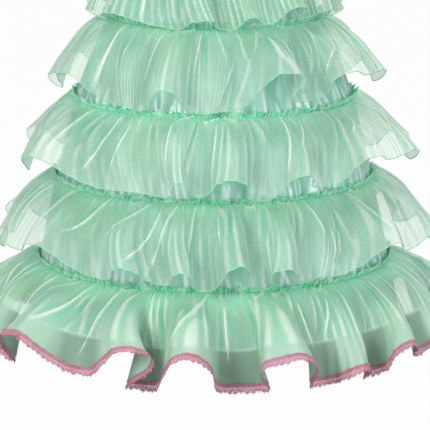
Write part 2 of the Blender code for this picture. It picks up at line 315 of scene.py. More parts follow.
# Creases of the bodice, one a row: share of the way from the centre to the side seam, below 0 on the
# -X side, and share of the height, both at its start and at its end, height in mm (below 0 it is a
# trough), half width in mm
BODICE_CREASES = {
    "front": (
        (-0.86, 0.58, -0.44, 0.46, 1.6, 5),
        (-0.9, 0.5, -0.52, 0.3, -1.6, 6),
        (-0.62, 0.02, -0.5, 0.34, 1.76, 5.5),
        (-0.3, 0, -0.36, 0.26, -1.6, 6),
        (-0.12, 0.03, -0.06, 0.22, 1.28, 5),
        (0.16, 0.01, 0.24, 0.3, 1.6, 6),
        (0.38, 0.02, 0.34, 0.2, -1.44, 5),
        (0.66, 0, 0.52, 0.36, 1.76, 5.5),
        (0.88, 0.56, 0.4, 0.5, 1.6, 5),
        (0.92, 0.46, 0.6, 0.28, -1.6, 6.5),
        (0.48, 0.72, 0.44, 0.9, -1.12, 5),
        (-0.46, 0.7, -0.42, 0.88, -1.12, 5),
    ),
    "back": (
        (-0.84, 0.54, -0.4, 0.44, 1.6, 5.5),
        (-0.78, 0.02, -0.6, 0.38, -1.6, 6),
        (-0.48, 0, -0.44, 0.3, 1.76, 5.5),
        (-0.28, 0.04, -0.32, 0.22, -1.28, 5),
        (-0.5, 0.8, -0.36, 0.58, 1.28, 5.5),
        (0.3, 0.02, 0.38, 0.28, 1.6, 5.5),
        (0.52, 0.01, 0.46, 0.24, -1.44, 5.5),
        (0.76, 0, 0.62, 0.36, 1.76, 6),
        (0.88, 0.5, 0.44, 0.42, 1.6, 5),
        (0.46, 0.82, 0.34, 0.6, -1.28, 6),
    ),
}

# Places where a ruffle's hem hangs lower, one a row: angle, half width in degrees, extra length in mm
HEM_DROPS = {
    "ruffle_1": ((-24, 5, 5), (-12, 6, 6), (4, 5, 8), (22, 5, 5)),
    "ruffle_2": ((-34, 6, 6), (-1, 8, 6)),
    "ruffle_3": ((16, 5, 4),),
    "ruffle_4": ((-3, 4, 5), (12, 3, 5), (23, 5, 6)),
    "ruffle_5": (),
}

# Small pouches of cloth just under a gather line, one a row: angle, half width in mm, depth in mm
POUCHES = {
    "ruffle_1": ((-16, 10, 12), (20, 9, 11)),
    "ruffle_2": ((-15, 15, 14), (8, 8, 11), (38, 10, 9)),
    "ruffle_3": ((-12, 10, 12), (-1, 9, 12), (6, 8, 11), (44, 9, 9)),
    "ruffle_4": ((11, 9, 12), (-27, 8, 8), (24, 8, 9), (56, 8, 9)),
    "ruffle_5": ((13, 9, 14), (19, 8, 12), (-27, 9, 9), (33, 8, 9), (-50, 9, 8)),
}

# Creases and pouches on the hidden sides, from a seeded generator
HIDDEN_FROM = 76
HIDDEN_PITCH = 6.5
HIDDEN_POUCHES = 5

# Deepest trough that the creases may press into a ruffle, and distance between the headings' crimps
DEEPEST_TROUGH = 0.0035
CRIMP_PITCH = 0.0068

# Painted highlight lines along the creases: number of layers that keep close or crossing lines
# apart, and reach of a line in metres
CREASE_LAYERS = 5
LINE_REACH = 0.0075
# Distance from a painted highlight line, in its own widths, that stands for none near
FAR = 9.0
# Base of the bell curve across a painted highlight line
BELL_BASE = 0.368


def smooth(low, high, value):
    share = np.clip((value - low) / (high - low), 0, 1)
    return share * share * (3 - 2 * share)


def ring_size(drop):
    """Half width, half depth and fold depth of the satin skirt at a drop below the waist"""
    drops, widths, depths, folds = np.array(SKIRT_RINGS).T
    return np.interp(drop, drops, widths), np.interp(drop, drops, depths), np.interp(drop, drops, folds)


def wave_noise(rng, angles, count, low, high):
    """A smooth random wave round a ring, between about -1 and 1, from a few whole-number harmonics"""
    total = np.zeros_like(angles)
    for part in range(count):
        total += np.sin(rng.integers(low, high) * angles + rng.uniform(0, 2 * math.pi))
    return total / math.sqrt(count)


# Meshes

def sheet_faces(rows, columns, closed):
    spans = columns if closed else columns - 1
    row, column = np.meshgrid(np.arange(rows - 1), np.arange(spans), indexing="ij")
    after = (column + 1) % columns
    top = row * columns
    low = top + columns
    return np.stack([top + column, low + column, low + after, top + after], -1).reshape(-1, 4)


def make_mesh(name, points, faces, material):
    mesh = bpy.data.meshes.new(name)
    mesh.from_pydata(points.reshape(-1, 3).tolist(), [], faces.tolist())
    mesh.polygons.foreach_set("use_smooth", [True] * len(mesh.polygons))
    mesh.materials.append(material)
    thing = bpy.data.objects.new(name, mesh)
    bpy.context.scene.collection.objects.link(thing)
    return thing


def add_uv(thing, corners):
    """Cloth coordinates in metres, one pair for each face corner"""
    layer = thing.data.uv_layers.new(name="cloth")
    layer.data.foreach_set("uv", corners.reshape(-1).astype(np.float32))


def grid_uv(across, down, closed, total):
    """Face-corner coordinates of a grid whose columns lie at across and rows at down"""
    spans = len(across) if closed else len(across) - 1
    wide = np.append(across, total) if closed else across
    left, right = wide[:spans], wide[1:spans + 1]
    u = np.stack([left, left, right, right], -1)
    corners = np.zeros((len(down) - 1, spans, 4, 2))
    corners[..., 0] = u[None]
    corners[..., 1] = np.stack([down[:-1], down[1:], down[1:], down[:-1]], -1)[:, None]
    return corners


def add_value(thing, name, values):
    layer = thing.data.attributes.new(name, "FLOAT", "POINT")
    layer.data.foreach_set("value", np.asarray(values, dtype=np.float32).reshape(-1))


def unit(vectors):
    return vectors / np.maximum(np.linalg.norm(vectors, axis=-1, keepdims=True), 1e-9)


def along_rows(points, closed):
    """Direction along each row of a grid of points"""
    if closed:
        return np.roll(points, -1, 1) - np.roll(points, 1, 1)
    return np.gradient(points, axis=1)


def grid_normals(points, closed):
    return unit(np.cross(np.gradient(points, axis=0), along_rows(points, closed)))


def distances(line):
    """Distance of each point of a line from its start, along it"""
    return np.concatenate([[0], np.cumsum(np.linalg.norm(np.diff(line, axis=0), axis=1))])


def read_line(places, arc, field):
    """Vectors of a field at distances along a line"""
    return np.stack([np.interp(places, arc, field[:, axis]) for axis in range(3)], -1)


def stand(half_width, half_depth, angle, z):
    """Points round the dress, from the front centre towards +X"""
    x = half_width * np.sin(angle)
    return np.stack([x, -half_depth * np.cos(angle), np.broadcast_to(z, x.shape)], -1)


def tube(path, radius, sides, closed, side_on):
    """Points and faces of a tube along a path, or along each of many paths of equal length"""
    paths = path if path.ndim == 3 else path[None]
    guides = np.broadcast_to(side_on, paths.shape)
    along = unit(along_rows(paths, closed))
    first = unit(guides - along * (guides * along).sum(-1, keepdims=True))
    second = np.cross(along, first)
    turn = np.arange(sides) * 2 * math.pi / sides
    thick = np.broadcast_to(radius, paths.shape[:2])[..., None, None]
    ring = first[:, :, None] * np.cos(turn)[:, None] + second[:, :, None] * np.sin(turn)[:, None]
    points = paths[:, :, None] + ring * thick
    count, length = paths.shape[:2]
    spans = length if closed else length - 1
    number, step, side = np.meshgrid(np.arange(count), np.arange(spans), np.arange(sides), indexing="ij")
    here = (number * length + step) * sides
    there = (number * length + (step + 1) % length) * sides
    after = (side + 1) % sides
    faces = np.stack([here + side, here + after, there + after, there + side], -1).reshape(-1, 4)
    return points.reshape(-1, 3), faces


def joined(parts):
    """Points and faces of many meshes as one"""
    points, faces = [], []
    start = 0
    for some_points, some_faces in parts:
        points.append(some_points)
        faces.append(some_faces + start)
        start += len(some_points)
    return np.concatenate(points), np.concatenate(faces)


# Materials

class Nodes:
    """A short way to build a material's nodes"""

    def __init__(self, name):
        self.material = bpy.data.materials.new(name)
        self.material.use_nodes = True
        self.tree = self.material.node_tree
        self.shader = self.tree.nodes["Principled BSDF"]

    def put(self, target, value):
        if isinstance(value, bpy.types.NodeSocket):
            self.tree.links.new(value, target)
        else:
            target.default_value = value

    def add(self, kind, **inputs):
        """A new node with its inputs set or linked, a _ standing for the space in an input's name"""
        node = self.tree.nodes.new("ShaderNode" + kind)
        for key, value in inputs.items():
            self.put(node.inputs[key.replace("_", " ")], value)
        return node

    def value(self, name):
        node = self.add("Attribute")
        node.attribute_name = name
        return node.outputs["Fac"]

    def cloth(self):
        node = self.add("UVMap")
        node.uv_map = "cloth"
        return node.outputs["UV"]

    def stretch(self, vector, scale):
        return self.add("Mapping", Vector=vector, Scale=scale).outputs["Vector"]

    def noise(self, vector, scale, detail=2.0, roughness=0.5, distortion=0.0):
        node = self.add("TexNoise", Vector=self.stretch(vector, scale), Scale=1.0, Detail=detail)
        node.inputs["Roughness"].default_value = roughness
        node.inputs["Distortion"].default_value = distortion
        return node.outputs["Fac"]

    def wave(self, vector, scale, direction, distortion):
        node = self.add("TexWave", Vector=vector, Scale=scale, Distortion=distortion)
        node.bands_direction = direction
        return node.outputs["Fac"]

    def math(self, operation, first, second=0.0, third=0.0):
        node = self.add("Math")
        node.operation = operation
        for place, value in enumerate((first, second, third)):
            self.put(node.inputs[place], value)
        return node.outputs[0]

    def span(self, value, low, high, to_low=0.0, to_high=1.0):
        node = self.add("MapRange", Value=value, From_Min=low, From_Max=high, To_Min=to_low, To_Max=to_high)
        return node.outputs["Result"]

    def mix(self, share, first, second):
        node = self.add("Mix")
        node.data_type = "RGBA"
        self.put(node.inputs["Factor"], share)
        for key, value in (("A", first), ("B", second)):
            socket = [s for s in node.inputs if s.name == key and s.type == "RGBA"][0]
            self.put(socket, value if isinstance(value, bpy.types.NodeSocket) else (*value, 1.0))
        return [s for s in node.outputs if s.type == "RGBA"][0]

    def layers(self, tone, rows):
        """A colour with others laid over it, a share and a colour in each row"""
        for share, colour in rows:
            tone = self.mix(share, tone, colour)
        return tone

    def bump(self, height, strength, distance, after=None):
        node = self.add("Bump", Height=height, Strength=strength, Distance=distance)
        if after is not None:
            self.put(node.inputs["Normal"], after)
        return node.outputs["Normal"]

    def set(self, **sockets):
        for key, value in sockets.items():
            self.put(self.shader.inputs[key.replace("_", " ")], value)
        return self.material


# Linear colours
ORGANZA_DARK = (0.10, 0.54, 0.34)
ORGANZA_DEEP = (0.30, 0.60, 0.40)
ORGANZA = (0.43, 0.69, 0.49)
ORGANZA_PALE = (0.72, 0.88, 0.74)
ORGANZA_SEAM_GREEN_LIGHT = (0.36, 0.84, 0.58)
ORGANZA_BLUE = (0.39, 0.71, 0.60)
ORGANZA_LEAF = (0.46, 0.75, 0.43)
ORGANZA_HIGHLIGHT = (0.97, 1.00, 0.95)
ORGANZA_THIN = (0.80, 0.84, 0.79)
SHADE_PALE = (0.40, 0.62, 0.47)
SHADE_DEEP = (0.20, 0.35, 0.25)
HEADING_DEEP = (0.07, 0.68, 0.38)
HEADING = (0.30, 0.88, 0.62)
SATIN_DEEP = (0.20, 0.54, 0.42)
SATIN = (0.48, 0.87, 0.73)
SATIN_PALE = (0.74, 0.97, 0.94)
SATIN_HIGHLIGHT = (0.88, 0.98, 1.00)
PINK = (0.80, 0.29, 0.42)
PINK_DEEP = (0.60, 0.13, 0.24)
PINK_VIOLET = (0.76, 0.30, 0.56)
PINK_GREY = (0.44, 0.28, 0.27)


def organza_material(name):
    """Sheer crisp weave: closer and greener where it is gathered, with painted highlight along its sharp
    creases, on its crests and in sparkles, painted shade in its troughs and below the satin hem, and
    painted light near the seam
    """
    n = Nodes(name)
    cloth = n.cloth()
    bunched, hollow, shade, seam_green_light = (n.value(key) for key in ("bunched", "hollow", "shade", "seam_green_light"))
    streaks = n.noise(cloth, (26, 11, 1), 4.0, 0.65, 0.6)
    clouds = n.noise(cloth, (11, 14, 1), 4.0, 0.6, 0.4)
    grain = n.noise(cloth, (270, 300, 1), 3.0, 0.8)
    drift = n.noise(cloth, (4.5, 9, 1))
    broken = n.noise(cloth, (90, 34, 1), 3.0, 0.7)
    weave = n.math("ADD", n.wave(cloth, 330.0, "X", 1.2), n.wave(cloth, 330.0, "Y", 1.2))
    painted_gleam = 0.0
    # Painted highlight: white lines along the sharp creases and round the pouches' rims, broken up by noise
    for layer in range(CREASE_LAYERS):
        away = n.value(f"crease_{layer}")
        line = n.math("POWER", BELL_BASE, n.math("MULTIPLY", away, away))
        line = n.math("MULTIPLY", line, n.value(f"shine_{layer}"))
        painted_gleam = n.math("MAXIMUM", line, painted_gleam)
    painted_gleam = n.math("MULTIPLY", painted_gleam, n.span(broken, 0.36, 0.56, 0.30, 1.0))
    painted_gleam = n.math("MULTIPLY", painted_gleam, n.span(grain, 0.30, 0.60, 0.55, 1.0))
    trough = n.span(hollow, 0.05, 0.9)
    crest = n.span(hollow, -0.05, -0.9)
    # painted highlight on the crests of the folds, stronger where the cloth is gathered
    crest_highlight = n.math("MULTIPLY", crest, n.math("MULTIPLY_ADD", bunched, 0.40, 0.55))
    # painted glints in the grain, more on the crests and fewer in the painted shade under the satin hem
    painted_sparkle = n.math("MULTIPLY_ADD", crest, 0.45, 0.16)
    painted_sparkle = n.math("MULTIPLY", painted_sparkle, n.span(shade, 0.0, 0.6, 1.0, 0.35))
    tone = n.layers(n.mix(n.span(clouds, 0.36, 0.66), ORGANZA_DEEP, ORGANZA), (
        (n.span(drift, 0.46, 0.68, 0.0, 0.50), ORGANZA_BLUE),
        (n.span(drift, 0.46, 0.30, 0.0, 0.40), ORGANZA_LEAF),
        (n.span(streaks, 0.50, 0.76, 0.0, 0.25), ORGANZA_PALE),
        (n.span(grain, 0.48, 0.30, 0.0, 0.22), ORGANZA_DARK),
        # painted shade in the troughs of the folds
        (n.math("MULTIPLY", trough, 0.60), ORGANZA_DARK),
        # greener near the seam, and lighter there as painted light against the shade of the tier above
        (n.math("MULTIPLY", seam_green_light, n.span(clouds, 0.35, 0.65, 0.55, 0.95)), ORGANZA_SEAM_GREEN_LIGHT),
        (n.math("MULTIPLY", bunched, 0.60), HEADING),
        (crest_highlight, ORGANZA_PALE),
        (n.math("MULTIPLY", n.value("thin"), 0.28), ORGANZA_THIN),
        # painted shade on the lowest ruffle below the satin hem
        (n.span(shade, 0.0, 0.45, 0.0, 0.9), SHADE_PALE),
        (n.span(shade, 0.45, 1.0, 0.0, 0.9), SHADE_DEEP),
        (n.math("MULTIPLY", n.span(grain, 0.50, 0.70), painted_sparkle), ORGANZA_HIGHLIGHT),
        # painted highlight along the creases and pouch rims
        (painted_gleam, ORGANZA_HIGHLIGHT),
    ))
    cover = 0.44
    for value, share in (
        (n.span(streaks, 0.3, 0.75), 0.10), (n.span(grain, 0.3, 0.7), 0.14), (crest, 0.12),
        (trough, 0.12), (painted_gleam, 0.40), (bunched, 0.30), (seam_green_light, 0.20), (n.span(shade, 0.0, 0.5), 0.36),
        (n.value("close"), 1.0),
    ):
        cover = n.math("MULTIPLY_ADD", value, share, cover)
    return n.set(
        Base_Color=tone, Roughness=n.span(grain, 0.3, 0.7, 0.60, 0.42),
        Normal=n.bump(grain, 0.25, 0.0003, n.bump(weave, 0.15, 0.0001)),
        Alpha=n.math("MINIMUM", cover, 0.98), Specular_IOR_Level=0.32,
        Sheen_Weight=0.35, Sheen_Roughness=0.40, Sheen_Tint=(0.85, 1.0, 0.93, 1.0),
    )


def heading_material(name):
    """Bunched edge of the ruffle: deep green specks between mint crimps, with painted highlight on the
    outward crimps
    """
    n = Nodes(name)
    cloth = n.cloth()
    specks = n.noise(cloth, (260, 220, 1), 2.0, 0.6)
    patches = n.noise(cloth, (38, 60, 1))
    # painted highlight on the outward crimps, broken up by random patches
    lift = n.math("ADD", n.value("pale"), n.span(patches, 0.35, 0.65, -0.25, 0.35))
    lift = n.math("MULTIPLY", n.span(lift, 0.0, 1.0), n.span(specks, 0.32, 0.52, 0.35, 1.0))
    tone = n.mix(n.span(specks, 0.38, 0.60), HEADING_DEEP, HEADING)
    return n.set(
        Base_Color=n.mix(lift, tone, ORGANZA_PALE), Normal=n.bump(specks, 0.5, 0.0006),
        Alpha=n.math("MULTIPLY_ADD", n.span(specks, 0.3, 0.6), 0.16, 0.80),
        Roughness=0.45, Sheen_Weight=0.35, Sheen_Roughness=0.35,
    )


def satin_material(name, uneven):
    """Smooth glossy weave with long soft streaks down the cloth, painted highlight on its puckers and
    crease crests, and painted shade in its hollows
    """
    n = Nodes(name)
    cloth = n.cloth()
    streaks = n.noise(cloth, (60, 8, 1))
    clouds = n.noise(cloth, (22, 12, 1))
    depths = n.span(clouds, 0.35, 0.68, 0.6 - 0.6 * uneven, 0.6 + 0.4 * uneven)
    tone = n.layers(n.mix(depths, SATIN_DEEP, SATIN), (
        (n.span(streaks, 0.48, 0.75, 0.0, 0.6 * uneven), SATIN_PALE),
        # painted shade in the hollows under the ruffles' seams and in the bodice's crease troughs
        (n.math("MULTIPLY", n.value("hollow"), 0.55), SATIN_DEEP),
        # painted highlight on the ridges and crests
        (n.value("painted_gleam"), SATIN_HIGHLIGHT),
    ))
    threads = n.bump(n.wave(cloth, 420.0, "X", 1.0), 0.10, 0.0001)
    return n.set(
        Base_Color=tone, Roughness=n.span(streaks, 0.3, 0.7, 0.24, 0.36),
        Normal=n.bump(streaks, 0.15, 0.0008, threads), Anisotropic=0.4, Specular_IOR_Level=0.9,
        Coat_Weight=0.30, Coat_Roughness=0.2, Sheen_Weight=0.15, Sheen_Roughness=0.4,
    )


def lace_material(name):
    """Pink net lace: open grey-pink weave in the middle, close thread at its edges"""
    n = Nodes(name)
    cloth = n.cloth()
    net = n.add("TexVoronoi")
    net.feature = "DISTANCE_TO_EDGE"
    n.put(net.inputs["Vector"], n.stretch(cloth, (900, 900, 1)))
    net.inputs["Scale"].default_value = 1.0
    thread = n.span(net.outputs["Distance"], 0.05, 0.28, 1.0, 0.0)
    patches = n.noise(cloth, (260, 260, 1))
    tints = n.noise(cloth, (45, 45, 1))
    long_tints = n.noise(cloth, (3, 3, 1), 1.0)
    inside = n.math("SUBTRACT", 1.0, n.value("edge"))
    open_part = n.math("MULTIPLY", inside, n.span(patches, 0.30, 0.52))
    hole = n.math("MULTIPLY", n.math("SUBTRACT", 1.0, thread), open_part)
    tone = n.layers(n.mix(n.span(long_tints, 0.35, 0.65), PINK, PINK_VIOLET), (
        (n.span(tints, 0.60, 0.35), PINK_DEEP),
        (n.math("MULTIPLY", open_part, 0.7), PINK_GREY),
    ))
    return n.set(
        Base_Color=tone, Roughness=0.7, Alpha=n.math("MULTIPLY_ADD", hole, -0.60, 0.98),
        Normal=n.bump(thread, 0.6, 0.0004), Sheen_Weight=0.3, Sheen_Roughness=0.5,
    )


def thread_material(name, deep, pale, scale):
    """Twisted thread, darker in the grooves of its twist as painted shade"""
    n = Nodes(name)
    fibres = n.noise(n.add("NewGeometry").outputs["Position"], (scale, scale, scale), 3.0, 0.6)
    return n.set(
        Base_Color=n.mix(n.span(fibres, 0.35, 0.65), deep, pale), Roughness=0.7,
        Normal=n.bump(fibres, 0.4, 0.0004), Sheen_Weight=0.3, Sheen_Roughness=0.5,
    )


# Ruffles

def fold_columns(name, count):
    """Fold number, angle at the seam, angle at the hem and flare of columns round a ruffle"""
    crest_at, crest_flare, valley_at, valley_flare, before, after = np.array(FOLDS[name], dtype=float).T
    folds = len(crest_at)
    places = np.append(np.stack([crest_at, valley_at], -1).ravel(), crest_at[0] + 360)
    flares = np.append(np.stack([crest_flare, valley_flare], -1).ravel(), crest_flare[0])
    step = np.arange(count) * folds / count
    folded = np.interp(step * 2, np.arange(2 * folds + 1), places)
    trend = places[0] + step * 360 / folds
    even = trend + np.mean(folded - trend)
    window = np.hanning(int(count / folds * 0.45) | 1)
    window /= window.sum()
    ring = np.tile(folded - trend, 3)
    folded = trend + np.convolve(ring, window, "same")[count:2 * count]
    place = np.floor(step * 2 + 1e-9).astype(int)
    share = (1 - np.cos(math.pi * (step * 2 - place))) / 2
    flare = flares[place] + (flares[place + 1] - flares[place]) * share
    curls = np.stack([after, np.roll(before, -1)], -1).ravel()[place]
    seam_angle = folded + (even - folded) * SEAM_EVEN
    hem_angle = folded + curls * np.sin(4 * math.pi * step)
    return step, np.radians(seam_angle), np.radians(hem_angle), np.radians(flare)


def ruffle_profile(flare, depth, shares):
    """Distance out and down from the seam at shares of a ruffle's cut depth, a row for each flare"""
    fine = np.linspace(0, 1, PROFILE_STEPS + 1)
    low = flare[:, None] - TURN_IN * (START_FLARE - flare[:, None])
    slope = low + (START_FLARE - low) * np.exp(-fine / SEAM_TURN)
    middle = (slope[:, 1:] + slope[:, :-1]) / 2
    place = shares * PROFILE_STEPS
    before = np.minimum(place.astype(int), PROFILE_STEPS - 1)
    part = place - before
    reached = []
    for run in (np.sin(middle), np.cos(middle)):
        total = np.hstack([np.zeros((len(flare), 1)), np.cumsum(run, 1)]) * depth / PROFILE_STEPS
        reached.append(total[:, before] * (1 - part) + total[:, before + 1] * part)
    return reached


def ruffle_form(name, seam, depth, shares, count):
    """Smooth form of a ruffle, a row for each share of its depth, with its fold numbers and seam angles"""
    step, seam_angle, hem_angle, flare = fold_columns(name, count)
    out, down = ruffle_profile(flare, depth, shares)
    width, deep = ring_size(seam)[:2]
    below_width, below_deep = ring_size(seam + down)[:2]
    rest = np.maximum(below_width - width, below_deep - deep)
    out = np.maximum(out, rest + GAP) + WALL + SEAM_GAP
    angle = seam_angle[:, None] + (hem_angle - seam_angle)[:, None] * shares ** 2
    points = stand(width + out, deep + out, angle, -WAIST_DROP - seam - down)
    return points.transpose(1, 0, 2), step, seam_angle


def wrapped(gap, whole):
    return (gap + whole / 2) % whole - whole / 2


def gathers(rng, angles, shares, radius):
    """Height in metres of the fine creases that fan down from a gathered seam"""
    height = np.zeros((len(shares), len(angles)))
    total = 2 * math.pi * radius
    place = 0.0
    while place < total:
        place += rng.uniform(0.004, 0.0125)
        tall = rng.uniform(0.0004, 0.0020)
        reach = rng.uniform(0.05, 0.22) if rng.uniform() < 0.94 else rng.uniform(0.25, 0.6)
        narrow = rng.uniform(0.0011, 0.0022) * (1 + 3.5 * shares)
        centre = place + rng.normal(0, 0.010) * shares ** 1.3
        gap = wrapped(angles[None] * radius - centre[:, None], total)
        fade = smooth(-0.03, 0.04, shares) * (1 - smooth(0.35 * reach, reach, shares))
        height += tall * np.exp(-np.abs(gap / narrow[:, None]) ** 1.5) * fade[:, None]
    return height


def soft_folds(rng, angles, shares, radius):
    """Rounded folds and troughs of uneven width, length and slant"""
    height = np.zeros((len(shares), len(angles)))
    total = 2 * math.pi * radius
    place = 0.0
    while place < total:
        place += rng.uniform(0.010, 0.044)
        lean = rng.normal(0, 0.020)
        start = rng.uniform(-0.15, 0.40)
        end = start + rng.uniform(0.35, 0.90)
        tall = rng.uniform(0.0014, 0.0046) * (1 if rng.uniform() < 0.55 else -1)
        half = rng.uniform(0.0055, 0.0190) * (0.7 + 0.8 * shares)
        gap = wrapped(angles[None] * radius - (place + lean * shares ** 1.2)[:, None], total)
        fade = smooth(start - 0.12, start + 0.12, shares) * (1 - smooth(end - 0.30, end, shares))
        height += tall * np.exp(-np.abs(gap / half[:, None]) ** 1.7) * fade[:, None]
    return height * smooth(0.0, 0.12, shares)[:, None]


def hidden_rows(rng):
    """Creases like those of the front for the sides and the back"""
    rows = []
    angle = HIDDEN_FROM
    while angle < 360 - HIDDEN_FROM:
        angle += HIDDEN_PITCH * rng.uniform(0.6, 1.5)
        start = rng.uniform(0.02, 0.22)
        end = min(start + rng.uniform(0.35, 0.95), 1.0)
        lean = rng.normal(0, 3.5)
        if rng.uniform() < 0.6:
            look = rng.uniform(1.8, 3.2), rng.uniform(2.2, 4.2), rng.uniform(0.3, 1.3)
        else:
            look = rng.uniform(-3.2, -2.0), rng.uniform(2.2, 4.6), 0.0
        rows.append((angle, angle + lean, start, end, *look))
    return rows


def crease_line(row, angles, shares, radius):
    """Distance along the cloth from a crease, its half width and its strength down the ruffle"""
    from_angle, to_angle, start, end, tall, half_width, bright = row
    along = np.clip((shares - start) / (end - start), 0, 1)
    centre = np.radians(from_angle + (to_angle - from_angle) * along ** 1.4)
    local = radius * (1 + 0.35 * shares)
    gap = wrapped(angles[None] - centre[:, None], 2 * math.pi) * local[:, None]
    step = np.abs(np.gradient(centre)) * local
    half = half_width / 1000 * (0.55 + 0.9 * along)
    fade = smooth(start - 0.06, start + 0.08, shares) * (1 - smooth(end - 0.18, end + 0.02, shares))
    return gap, half, step, fade[:, None]


def main_creases(rows, angles, shares, radius):
    """Height in metres of the main creases, and for each layer of them the distance from the nearest
    one in widths of its painted highlight line, and how bright that painted highlight is"""
    height = np.zeros((len(shares), len(angles)))
    layers = []
    for row in rows:
        gap, half, step, fade = crease_line(row, angles, shares, radius)
        tall, bright = row[4], row[6]
        power = 1.35 if tall > 0 else 2.0
        wide = np.maximum(half, 0.9 * step)[:, None]
        height += tall / 1000 * np.exp(-np.abs(gap / wide) ** power) * fade
        if bright <= 0:
            continue
        # painted highlight along the crease's crest
        line = (0.0005 + 0.17 * half)[:, None]
        painted_shine = bright * fade * (1 - smooth(LINE_REACH * 0.6, LINE_REACH, np.abs(gap)))
        beside = (np.abs(gap) < 1.3 * LINE_REACH) & (fade > 0.02)
        for layer in layers:
            if not np.any(beside & (layer[2] > 0.02)):
                break
        else:
            if len(layers) == CREASE_LAYERS - 1:
                continue
            layer = [np.full_like(height, 1.0), np.full_like(height, FAR), np.zeros_like(height)]
            layers.append(layer)
        here = (np.abs(gap) < layer[0]) & (fade > 0.001)
        for field, value in zip(layer, (np.abs(gap), gap / line, painted_shine)):
            field[here] = value[here]
    return height, [layer[1:] for layer in layers]


def pouches(rows, angles, shares, radius, depth):
    """Height of the small pouches under a gather line, distance from their rims in widths of the rim's
    painted highlight line, how bright that painted highlight is, and how far inside a pouch a point lies"""
    height = np.zeros((len(shares), len(angles)))
    away = np.full_like(height, FAR)
    painted_shine = np.zeros_like(height)
    inside = np.zeros_like(height)
    down = shares * depth
    for number, (angle, half_width, deep) in enumerate(rows):
        gap = wrapped(angles - math.radians(angle), 2 * math.pi) * radius
        tilt = 0.5 * math.sin(2.3 * number + angle)
        across = gap[None] / (half_width / 1000)
        below = (down[:, None] - 0.001) / (deep / 1000) + tilt * across * (1 - 0.3 * across)
        reach = np.sqrt(across ** 2 + below ** 2) * (1 + 0.10 * np.sin(3 * across + number))
        near = reach < 2
        rim = np.exp(-((reach - 1) / 0.26) ** 2) * smooth(-0.15, 0.3, below)
        height += 0.0034 * rim - 0.0030 * (1 - smooth(0.4, 1.0, reach)) * smooth(-0.1, 0.2, below)
        away = np.where(near, (reach - 1.04) / 0.13, away)
        uneven = 0.55 + 0.45 * np.sin(2.5 * across + 1.7 * number)
        bright = 0.95 * uneven * smooth(0.05, 0.6, below) * (1 - smooth(1.2, 1.6, reach))
        painted_shine = np.where(near, bright, painted_shine)
        inside += 0.8 * (1 - smooth(0.3, 1.0, reach)) * smooth(-0.2, 0.1, below)
    return height, away, painted_shine, inside


def ruffle_height(rng, name, angles, shares, radius, depth):
    """Height of all of a ruffle's creases, its layers of painted highlight lines, and what lies inside a
    pouch
    """
    whole = np.linspace(0, 2 * math.pi, len(angles), endpoint=False)
    height, layers = main_creases(CREASES[name] + tuple(hidden_rows(rng)), angles, shares, radius)
    puffs = [
        (angle, rng.uniform(7, 12), rng.uniform(8, 14))
        for angle in rng.uniform(HIDDEN_FROM, 360 - HIDDEN_FROM, HIDDEN_POUCHES)
    ]
    pouch, away, painted_shine, inside = pouches(POUCHES[name] + tuple(puffs), angles, shares, radius, depth)
    layers.append((away, painted_shine))
    layers += [(0 * away + FAR, 0 * away)] * (CREASE_LAYERS - len(layers))
    height += pouch + gathers(rng, angles, shares, radius) + soft_folds(rng, angles, shares, radius)
    ripple = wave_noise(rng, whole, 8, 60, 150)[None] * 0.0008 * smooth(0.1, 0.9, shares)[:, None]
    crinkle = np.array([wave_noise(rng, whole, 6, 90, 260) for share in shares])
    crinkle = (crinkle + np.roll(crinkle, 1, 0) + np.roll(crinkle, -1, 0)) / 1.8
    crinkle *= 0.0009 * np.exp(-shares / 0.10)[:, None] * smooth(0, 0.03, shares)[:, None]
    height = np.maximum(height + ripple + crinkle, -DEEPEST_TROUGH)
    height = np.where(height < 0, height * smooth(0.0, 0.10, shares)[:, None], height)
    return height, layers, inside


def add_ruffle(number, name, seam, depth, cut_width, material):
    rng = np.random.default_rng(40 + number)
    columns = RUFFLE_COLUMNS[number]
    shares = np.linspace(0, 1, RUFFLE_ROWS) ** 1.25
    points, step, angles = ruffle_form(name, seam, depth, shares, columns)
    height, layers, inside = ruffle_height(rng, name, angles, shares, ring_size(seam)[0], depth)
    moved = points + grid_normals(points, True) * height[..., None] + hem_drop(name, angles, points, shares)
    ruffle = make_mesh(name + "_cloth", moved, sheet_faces(*moved.shape[:2], True), material)
    across = np.arange(columns) * cut_width / columns
    add_uv(ruffle, grid_uv(across, -shares * depth, True, cut_width))
    spread = max(2, round(columns / 330))
    # Hollow is above 0 in the troughs between creases and below 0 on their crests; the organza paints shade
    # in the troughs and highlight on the crests
    hollow = (np.roll(height, spread, 1) + np.roll(height, -spread, 1)) / 2 - height
    hollow = np.clip(hollow / 0.0012, -1, 1)
    bunched = (1 - smooth(0.0, 0.08, shares))[:, None] * (0.45 + 0.45 * hollow) + 0.45 * inside
    crest = np.cos(2 * math.pi * step)[None] * smooth(0.05, 0.5, shares)[:, None]
    lowest = number == len(RUFFLES) - 1
    thin = smooth(0.30, 0.85, shares)[:, None] * (0.25 if number == 0 else 1.0) + 0 * hollow
    values = {
        "bunched": np.clip(bunched, 0, 1),
        # greener and lighter near the seam: partly gathered cloth, partly painted light against the shade
        # of the tier above
        "seam_green_light": (1 - smooth(0.02, 0.34, shares))[:, None] * (1 - 0.35 * np.clip(-hollow, 0, 1)),
        "hollow": hollow,
        "shade": hem_shade(moved, step) if lowest else 0 * hollow,
        "thin": thin,
        "close": 0.24 + 0.14 * crest if lowest else 0.02 + 0.09 * crest - 0.08 * thin,
    }
    # painted highlight lines along the creases and pouch rims, one set for each layer
    for layer, (gap, bright) in enumerate(layers):
        values[f"crease_{layer}"] = np.clip(gap, -FAR, FAR)
        values[f"shine_{layer}"] = np.clip(bright, 0, 1)
    for key, field in values.items():
        add_value(ruffle, key, field)
    return ruffle, moved


